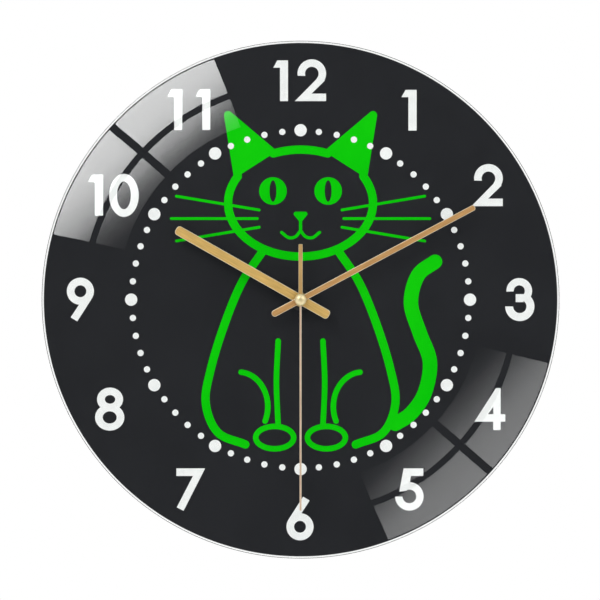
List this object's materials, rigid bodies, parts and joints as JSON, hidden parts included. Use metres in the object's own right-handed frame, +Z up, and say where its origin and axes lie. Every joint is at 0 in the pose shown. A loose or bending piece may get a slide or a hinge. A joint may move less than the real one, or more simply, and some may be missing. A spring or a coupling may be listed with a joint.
{
  "type": "wall clock",
  "caption": "Frameless round glass wall clock with a printed sitting-cat dial, baton hands and a battery quartz movement hung by its own eye.",
  "frame": {"origin": "on the hand arbor's axis, at the rear face of the movement, which lies on the wall", "axes": "+Z up, +X to the viewer's right, +Y into the wall; the dial faces -Y"},
  "size_m": [0.3, 0.0332, 0.3],
  "materials": {
    "dial_glass": "clear float glass, polished bevelled edge",
    "dial_print": "charcoal print behind the glass, with a green cat, white numerals and dots",
    "gasket_rubber": "soft black rubber washer",
    "black_metal": "black oxide",
    "post_brass": "turned brass",
    "case_plastic": "black moulded ABS, fine spark texture",
    "white_plastic": "natural white acetal",
    "wheel_steel": "pale turned or stamped steel",
    "magnet_metal": "sintered magnet, dark grey",
    "coil_copper": "enamelled copper wire",
    "board_resin": "green solder-masked laminate",
    "contact_steel": "nickel-plated spring steel",
    "battery_jacket": null,
    "hand_gold": "stamped aluminium, pale gold anodised, bright bevelled edges"
  },
  "bodies": {
    "movement": {"glass_dial": "dial_glass", "dial_print_film": "dial_print", "rubber_gasket": "gasket_rubber", "dial_washer": "black_metal", "dial_nut": "black_metal", "threaded_post": "post_brass", "front_case": "case_plastic", "rear_cover": "case_plastic", "mid_plate": "white_plastic", "stator_plate": "wheel_steel", "coil_core": "wheel_steel", "coil_bobbin": "white_plastic", "coil_winding": "coil_copper", "coil_screw_top": "wheel_steel", "coil_screw_bottom": "wheel_steel", "circuit_board": "board_resin", "ic_blob": "case_plastic", "crystal_can": "contact_steel", "battery_contact_positive": "contact_steel", "battery_contact_negative": "contact_steel"},
    "minute_body": {"minute_pipe": "post_brass", "minute_hand": "hand_gold"},
    "hour_body": {"hour_wheel": "white_plastic", "hour_hand": "hand_gold"},
    "motion_body": {"motion_wheel": "white_plastic"},
    "knob_body": {"setting_shaft": "white_plastic", "setting_knob": "white_plastic"},
    "second_body": {"seconds_wheel": "wheel_steel", "second_hand": "hand_gold", "second_hand_cap": "hand_gold"},
    "intermediate_body": {"intermediate_wheel": "white_plastic"},
    "rotor_body": {"rotor_pinion": "white_plastic", "rotor_magnet": "magnet_metal"},
    "third_body": {"third_wheel": "white_plastic"},
    "centre_body": {"centre_wheel": "post_brass"},
    "battery_body": {"battery_cell": "battery_jacket", "battery_positive_cap": "contact_steel"}
  },
  "joints": [
    {"name": "minute_hand_turn", "type": "hinge", "parent": "movement", "child": "minute_body", "pos_m": [0, 0, 0], "axis": [0, 1, 0], "continuous": true},
    {"name": "hour_hand_turn", "type": "hinge", "parent": "movement", "child": "hour_body", "pos_m": [0, 0, 0], "axis": [0, 1, 0], "continuous": true},
    {"name": "motion_wheel_turn", "type": "hinge", "parent": "movement", "child": "motion_body", "pos_m": [-0.00866, 0, 0.005], "axis": [0, 1, 0], "continuous": true},
    {"name": "setting_knob_turn", "type": "hinge", "parent": "movement", "child": "knob_body", "pos_m": [-0.01732, 0, 0.01], "axis": [0, 1, 0], "continuous": true},
    {"name": "second_hand_turn", "type": "hinge", "parent": "movement", "child": "second_body", "pos_m": [0, 0, 0], "axis": [0, 1, 0], "continuous": true},
    {"name": "intermediate_wheel_turn", "type": "hinge", "parent": "movement", "child": "intermediate_body", "pos_m": [0.01015, 0, -0.00369], "axis": [0, 1, 0], "continuous": true},
    {"name": "rotor_turn", "type": "hinge", "parent": "movement", "child": "rotor_body", "pos_m": [0.01745, 0, -0.00174], "axis": [0, 1, 0], "continuous": true},
    {"name": "third_wheel_turn", "type": "hinge", "parent": "movement", "child": "third_body", "pos_m": [0.0054, 0, 0.00935], "axis": [0, 1, 0], "continuous": true},
    {"name": "centre_wheel_turn", "type": "hinge", "parent": "movement", "child": "centre_body", "pos_m": [0, 0, 0], "axis": [0, 1, 0], "continuous": true},
    {"name": "battery_slide", "type": "slide", "parent": "movement", "child": "battery_body", "axis": [0, 1, 0], "range_m": [0, 0.03]}
  ],
  "couplings": [
    {"joint": "hour_hand_turn", "follows": "minute_hand_turn", "ratio": 0.083333},
    {"joint": "motion_wheel_turn", "follows": "minute_hand_turn", "ratio": -0.33333},
    {"joint": "setting_knob_turn", "follows": "minute_hand_turn", "ratio": 1},
    {"joint": "intermediate_wheel_turn", "follows": "second_hand_turn", "ratio": -5},
    {"joint": "rotor_turn", "follows": "second_hand_turn", "ratio": 30},
    {"joint": "third_wheel_turn", "follows": "second_hand_turn", "ratio": -0.13333},
    {"joint": "centre_wheel_turn", "follows": "second_hand_turn", "ratio": 0.016667}
  ]
}
